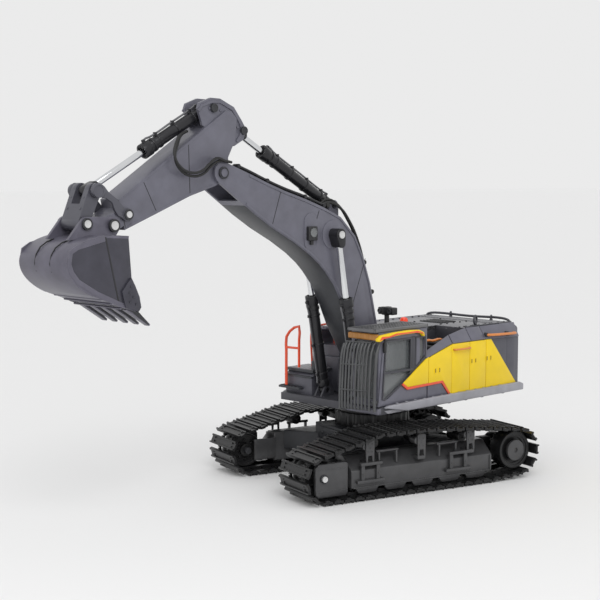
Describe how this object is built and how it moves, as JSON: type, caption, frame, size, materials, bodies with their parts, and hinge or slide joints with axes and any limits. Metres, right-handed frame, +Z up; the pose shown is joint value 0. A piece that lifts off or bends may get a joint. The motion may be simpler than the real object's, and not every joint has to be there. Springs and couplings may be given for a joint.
{
  "type": "toy excavator",
  "caption": "Crawler excavator toy with a swinging house, barred cab and a boom, stick and bucket moved by cylinders that follow the arm.",
  "frame": {"origin": "on the ground, under the centre of the bounding box of the whole model at rest", "axes": "+X forwards along the tracks, +Y to the left, +Z up; the house stands swung 14.4 degrees to the left of the tracks"},
  "size_m": [0.6266, 0.2592, 0.4119],
  "materials": {
    "slate_metal": "satin slate grey paint with a violet cast",
    "slate_plastic": "satin slate grey moulding",
    "charcoal_metal": "dark charcoal paint",
    "charcoal_plastic": "dark charcoal moulding",
    "black_metal": "semi-gloss black metal",
    "track_alloy": "semi-gloss black paint on light alloy",
    "frame_alloy": "dark charcoal paint on light alloy",
    "black_plastic": "black moulding",
    "chrome": "polished chrome plate",
    "yellow_plastic": "bright yellow gloss",
    "orange_plastic": "red-orange gloss",
    "amber_plastic": "translucent amber",
    "glass": "smoked clear pane",
    "battery_wrap": "blue shrink wrap",
    "circuit_board": "green resin board",
    "rubber": "black rubber hose"
  },
  "bodies": {
    "undercarriage": {"chassis_frame": "frame_alloy", "slew_ring": "black_metal", "left_side_frame": "frame_alloy", "left_track_belt": "track_alloy", "left_idler_axle": "charcoal_metal", "left_final_drive": "charcoal_metal", "right_side_frame": "frame_alloy", "right_track_belt": "track_alloy", "right_idler_axle": "charcoal_metal", "right_final_drive": "charcoal_metal"},
    "left_sprocket": {"left_drive_sprocket": "black_metal"},
    "left_idler": {"left_idler_wheel": "black_metal"},
    "left_rear_roller": {"left_rear_top_roller": "black_metal"},
    "left_middle_roller": {"left_middle_top_roller": "black_metal"},
    "left_front_roller": {"left_front_top_roller": "black_metal"},
    "right_sprocket": {"right_drive_sprocket": "black_metal"},
    "right_idler": {"right_idler_wheel": "black_metal"},
    "right_rear_roller": {"right_rear_top_roller": "black_metal"},
    "right_middle_roller": {"right_middle_top_roller": "black_metal"},
    "right_front_roller": {"right_front_top_roller": "black_metal"},
    "house": {"house_deck": "charcoal_plastic", "left_side_panel": "yellow_plastic", "right_side_panel": "slate_plastic", "counterweight": "slate_plastic", "engine_hood": "slate_plastic", "cab_shell": "slate_plastic", "left_cab_glass": "glass", "front_cab_glass": "glass", "operator_seat": "black_plastic", "front_guard": "charcoal_plastic", "roof_guard": "charcoal_plastic", "roof_light_bar": "amber_plastic", "beacon": "orange_plastic", "camera_box": "black_plastic", "tank_box": "slate_plastic", "front_grab_rail": "orange_plastic", "deck_grab_rail": "orange_plastic", "battery_pack": "battery_wrap", "receiver_board": "circuit_board", "swing_motor": "charcoal_metal"},
    "boom": {"boom": "slate_metal", "boom_foot_pin": "chrome", "boom_tip_pin": "chrome", "boom_hose": "rubber"},
    "stick": {"stick": "slate_metal", "rocker_pin": "chrome", "bucket_pin": "chrome"},
    "bucket": {"bucket": "slate_metal", "link_pin": "chrome"},
    "bucket_link": {"bucket_link": "charcoal_metal"},
    "rockers": {"left_rocker": "charcoal_metal", "right_rocker": "charcoal_metal"},
    "left_boom_barrel": {"left_boom_cylinder_barrel": "charcoal_metal"},
    "left_boom_rod": {"left_boom_cylinder_rod": "chrome"},
    "right_boom_barrel": {"right_boom_cylinder_barrel": "charcoal_metal"},
    "right_boom_rod": {"right_boom_cylinder_rod": "chrome"},
    "stick_barrel": {"stick_cylinder_barrel": "charcoal_metal"},
    "stick_rod": {"stick_cylinder_rod": "chrome"},
    "bucket_barrel": {"bucket_cylinder_barrel": "charcoal_metal"},
    "bucket_rod": {"bucket_cylinder_rod": "chrome"}
  },
  "joints": [
    {"name": "left_sprocket_spin", "type": "hinge", "parent": "undercarriage", "child": "left_sprocket", "pos_m": [-0.24429, 0.06581, 0.03105], "axis": [0, 1, 0], "continuous": true},
    {"name": "left_idler_spin", "type": "hinge", "parent": "undercarriage", "child": "left_idler", "pos_m": [0.00571, 0.06581, 0.02655], "axis": [0, 1, 0], "continuous": true},
    {"name": "left_rear_roller_spin", "type": "hinge", "parent": "undercarriage", "child": "left_rear_roller", "pos_m": [-0.17728, 0.06581, 0.05165], "axis": [0, 1, 0], "continuous": true},
    {"name": "left_middle_roller_spin", "type": "hinge", "parent": "undercarriage", "child": "left_middle_roller", "pos_m": [-0.11929, 0.06581, 0.05565], "axis": [0, 1, 0], "continuous": true},
    {"name": "left_front_roller_spin", "type": "hinge", "parent": "undercarriage", "child": "left_front_roller", "pos_m": [-0.06128, 0.06581, 0.05565], "axis": [0, 1, 0], "continuous": true},
    {"name": "right_sprocket_spin", "type": "hinge", "parent": "undercarriage", "child": "right_sprocket", "pos_m": [-0.24429, -0.09669, 0.03105], "axis": [0, 1, 0], "continuous": true},
    {"name": "right_idler_spin", "type": "hinge", "parent": "undercarriage", "child": "right_idler", "pos_m": [0.00571, -0.09669, 0.02655], "axis": [0, 1, 0], "continuous": true},
    {"name": "right_rear_roller_spin", "type": "hinge", "parent": "undercarriage", "child": "right_rear_roller", "pos_m": [-0.17728, -0.09669, 0.05165], "axis": [0, 1, 0], "continuous": true},
    {"name": "right_middle_roller_spin", "type": "hinge", "parent": "undercarriage", "child": "right_middle_roller", "pos_m": [-0.11929, -0.09669, 0.05565], "axis": [0, 1, 0], "continuous": true},
    {"name": "right_front_roller_spin", "type": "hinge", "parent": "undercarriage", "child": "right_front_roller", "pos_m": [-0.06128, -0.09669, 0.05565], "axis": [0, 1, 0], "continuous": true},
    {"name": "house_swing", "type": "hinge", "parent": "undercarriage", "child": "house", "pos_m": [-0.11929, -0.01544, 0.084], "axis": [0, 0, 1], "continuous": true},
    {"name": "boom_lift", "type": "hinge", "parent": "house", "child": "boom", "pos_m": [-0.11057, -0.0132, 0.119], "axis": [0.2487, -0.9686, 0], "range_deg": [-35, 15]},
    {"name": "stick_swing", "type": "hinge", "parent": "boom", "child": "stick", "pos_m": [0.11124, 0.04375, 0.339], "axis": [0.2487, -0.9686, 0], "range_deg": [-45, 25]},
    {"name": "bucket_curl", "type": "hinge", "parent": "stick", "child": "bucket", "pos_m": [0.24103, 0.07707, 0.2907], "axis": [0.2487, -0.9686, 0], "range_deg": [-17, 60]},
    {"name": "left_boom_cylinder_tilt", "type": "hinge", "parent": "house", "child": "left_boom_barrel", "pos_m": [-0.06989, -0.00276, 0.098], "axis": [0.2487, -0.9686, 0], "range_deg": [-34.4, 15]},
    {"name": "left_boom_rod_slide", "type": "slide", "parent": "left_boom_barrel", "child": "left_boom_rod", "axis": [0.1785, 0.0458, 0.9829], "range_m": [-0.0289, 0.0127]},
    {"name": "right_boom_cylinder_tilt", "type": "hinge", "parent": "house", "child": "right_boom_barrel", "pos_m": [-0.06989, -0.00276, 0.098], "axis": [0.2487, -0.9686, 0], "range_deg": [-34.4, 15]},
    {"name": "right_boom_rod_slide", "type": "slide", "parent": "right_boom_barrel", "child": "right_boom_rod", "axis": [0.1785, 0.0458, 0.9829], "range_m": [-0.0289, 0.0127]},
    {"name": "stick_cylinder_tilt", "type": "hinge", "parent": "boom", "child": "stick_barrel", "pos_m": [-0.05148, 0.00197, 0.304], "axis": [0.2487, -0.9686, 0], "range_deg": [-1, 0.8]},
    {"name": "stick_rod_slide", "type": "slide", "parent": "stick_barrel", "child": "stick_rod", "axis": [0.8429, 0.2164, 0.4927], "range_m": [-0.0223, 0.0398]},
    {"name": "rocker_swing", "type": "hinge", "parent": "stick", "child": "rockers", "pos_m": [0.22456, 0.07284, 0.3004], "axis": [0.2487, -0.9686, 0], "range_deg": [-13.4, 46.1]},
    {"name": "link_swing", "type": "hinge", "parent": "bucket", "child": "bucket_link", "pos_m": [0.2697, 0.08443, 0.2927], "axis": [0.2487, -0.9686, 0], "range_deg": [-37.4, 11]},
    {"name": "bucket_cylinder_tilt", "type": "hinge", "parent": "stick", "child": "bucket_barrel", "pos_m": [0.11802, 0.04549, 0.402], "axis": [0.2487, -0.9686, 0], "range_deg": [-1.2, 2.9]},
    {"name": "bucket_rod_slide", "type": "slide", "parent": "bucket_barrel", "child": "bucket_rod", "axis": [0.847, 0.2175, -0.4851], "range_m": [-0.0303, 0.009]}
  ],
  "couplings": [
    {"joint": "left_idler_spin", "follows": "left_sprocket_spin", "ratio": 1.0517},
    {"joint": "left_rear_roller_spin", "follows": "left_sprocket_spin", "ratio": 3.2047},
    {"joint": "left_middle_roller_spin", "follows": "left_sprocket_spin", "ratio": 3.2047},
    {"joint": "left_front_roller_spin", "follows": "left_sprocket_spin", "ratio": 3.2047},
    {"joint": "right_idler_spin", "follows": "right_sprocket_spin", "ratio": 1.0517},
    {"joint": "right_rear_roller_spin", "follows": "right_sprocket_spin", "ratio": 3.2047},
    {"joint": "right_middle_roller_spin", "follows": "right_sprocket_spin", "ratio": 3.2047},
    {"joint": "right_front_roller_spin", "follows": "right_sprocket_spin", "ratio": 3.2047},
    {"joint": "left_boom_cylinder_tilt", "follows": "boom_lift", "ratio": 0.97},
    {"joint": "left_boom_rod_slide", "follows": "boom_lift", "m_per_rad": 0.0465},
    {"joint": "right_boom_cylinder_tilt", "follows": "boom_lift", "ratio": 0.97},
    {"joint": "right_boom_rod_slide", "follows": "boom_lift", "m_per_rad": 0.0465},
    {"joint": "stick_cylinder_tilt", "follows": "stick_swing", "ratio": 0.01},
    {"joint": "stick_rod_slide", "follows": "stick_swing", "m_per_rad": -0.05},
    {"joint": "rocker_swing", "follows": "bucket_curl", "ratio": 0.76},
    {"joint": "link_swing", "follows": "bucket_curl", "ratio": -0.615},
    {"joint": "bucket_cylinder_tilt", "follows": "bucket_curl", "ratio": 0.04},
    {"joint": "bucket_rod_slide", "follows": "bucket_curl", "m_per_rad": -0.0285}
  ]
}
